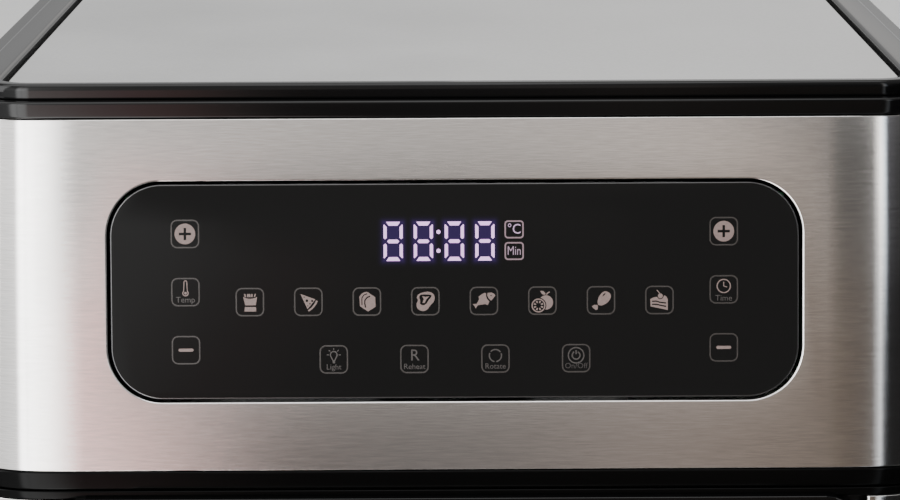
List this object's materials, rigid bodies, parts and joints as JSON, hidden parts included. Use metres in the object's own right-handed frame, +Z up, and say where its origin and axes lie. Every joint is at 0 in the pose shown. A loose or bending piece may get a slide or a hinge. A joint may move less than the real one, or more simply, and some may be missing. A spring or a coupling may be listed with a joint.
{
  "type": "toaster oven",
  "caption": "Upright countertop oven with drop-down glass door, leaning touch-control panel, top-mounted convection fan, coil heater and motor-driven roasting spit.",
  "frame": {"origin": "middle of the bounding box on the plane the feet stand on", "axes": "+Z up, front face and door towards -Y, +X to the right as seen from the front"},
  "size_m": [0.34, 0.352, 0.375],
  "materials": {
    "brushed_steel": "horizontally brushed stainless steel",
    "handle_steel": "brushed stainless steel bar",
    "satin_steel": "fine satin stainless steel",
    "gloss_black": "gloss black moulding",
    "black_coated_steel": "matte black coated steel",
    "black_plastic": "moulded black plastic",
    "foot_rubber": "matte rubber",
    "door_seal": "silicone gasket",
    "panel_glass": "back-painted black glass",
    "door_glass": "smoked clear glass",
    "display": "dark display window with lit segments",
    "circuit_board": "green solder mask",
    "copper_winding": "varnished winding",
    "liner_steel": "plain stainless sheet",
    "door_sheet": "satin sheet",
    "bright_wire": "bright plated steel",
    "heater_sheath": "dark oxidised heater sheath",
    "cast_aluminium": "satin aluminium",
    "motor_steel": "zinc plated steel",
    "white_plastic": "white heat-resistant plastic"
  },
  "bodies": {
    "housing": {"base_pan": "black_coated_steel", "foot_front_left": "foot_rubber", "foot_front_right": "foot_rubber", "foot_rear_left": "foot_rubber", "foot_rear_right": "foot_rubber", "side_panel_left": "brushed_steel", "side_panel_right": "brushed_steel", "back_cover": "black_coated_steel", "cable_gland": "foot_rubber", "divider_ring": "gloss_black", "control_band": "brushed_steel", "lower_fascia": "brushed_steel", "front_frame": "black_coated_steel", "top_trim": "gloss_black", "top_frame": "gloss_black", "top_plate": "satin_steel", "control_panel": "panel_glass", "display_module": "display", "touch_board": "circuit_board", "cavity_liner": "liner_steel", "rack_rail_left": "liner_steel", "rack_rail_right": "liner_steel", "wire_rack": "bright_wire", "drip_pan": "liner_steel", "heater_coil": "heater_sheath", "heater_guard": "bright_wire", "oven_lamp": "white_plastic", "lamp_cover": "door_glass", "temperature_sensor": "bright_wire", "exhaust_duct": "liner_steel", "motor_bracket": "motor_steel", "convection_motor": "motor_steel", "rotisserie_motor": "cast_aluminium", "spit_bracket": "bright_wire", "door_switch": "black_plastic", "board_carrier": "white_plastic", "power_board": "circuit_board", "transformer": "copper_winding", "thermal_cutout": "white_plastic", "hinge_bracket_left": "motor_steel", "hinge_bracket_right": "motor_steel"},
    "door": {"door_frame": "gloss_black", "door_glass_outer": "door_glass", "door_glass_inner": "door_glass", "door_inner_frame": "door_sheet", "door_seal": "door_seal", "door_handle": "handle_steel", "handle_post_left": "gloss_black", "handle_post_right": "gloss_black", "hinge_pin_left": "bright_wire", "hinge_pin_right": "bright_wire"},
    "fan": {"fan_shaft": "bright_wire", "convection_fan": "cast_aluminium", "cooling_fan": "black_plastic"},
    "spit": {"spit_shaft": "bright_wire", "spit_fork_left": "bright_wire", "spit_fork_right": "bright_wire", "drive_socket": "bright_wire"},
    "plunger": {"switch_plunger": "white_plastic"}
  },
  "joints": [
    {"name": "door_hinge", "type": "hinge", "parent": "housing", "child": "door", "pos_m": [0, -0.1375, 0.048], "axis": [1, 0, 0], "range_deg": [0, 90]},
    {"name": "fan_spin", "type": "hinge", "parent": "housing", "child": "fan", "pos_m": [0, 0.0008, 0.25], "axis": [0, 0, 1], "continuous": true},
    {"name": "spit_spin", "type": "hinge", "parent": "housing", "child": "spit", "pos_m": [0, 0.0008, 0.142], "axis": [1, 0, 0], "continuous": true},
    {"name": "switch_plunger_slide", "type": "slide", "parent": "housing", "child": "plunger", "axis": [0, -1, 0], "range_m": [0, 0.0021]}
  ],
  "couplings": [
    {"joint": "switch_plunger_slide", "follows": "door_hinge", "m_per_rad": 0.00127}
  ]
}
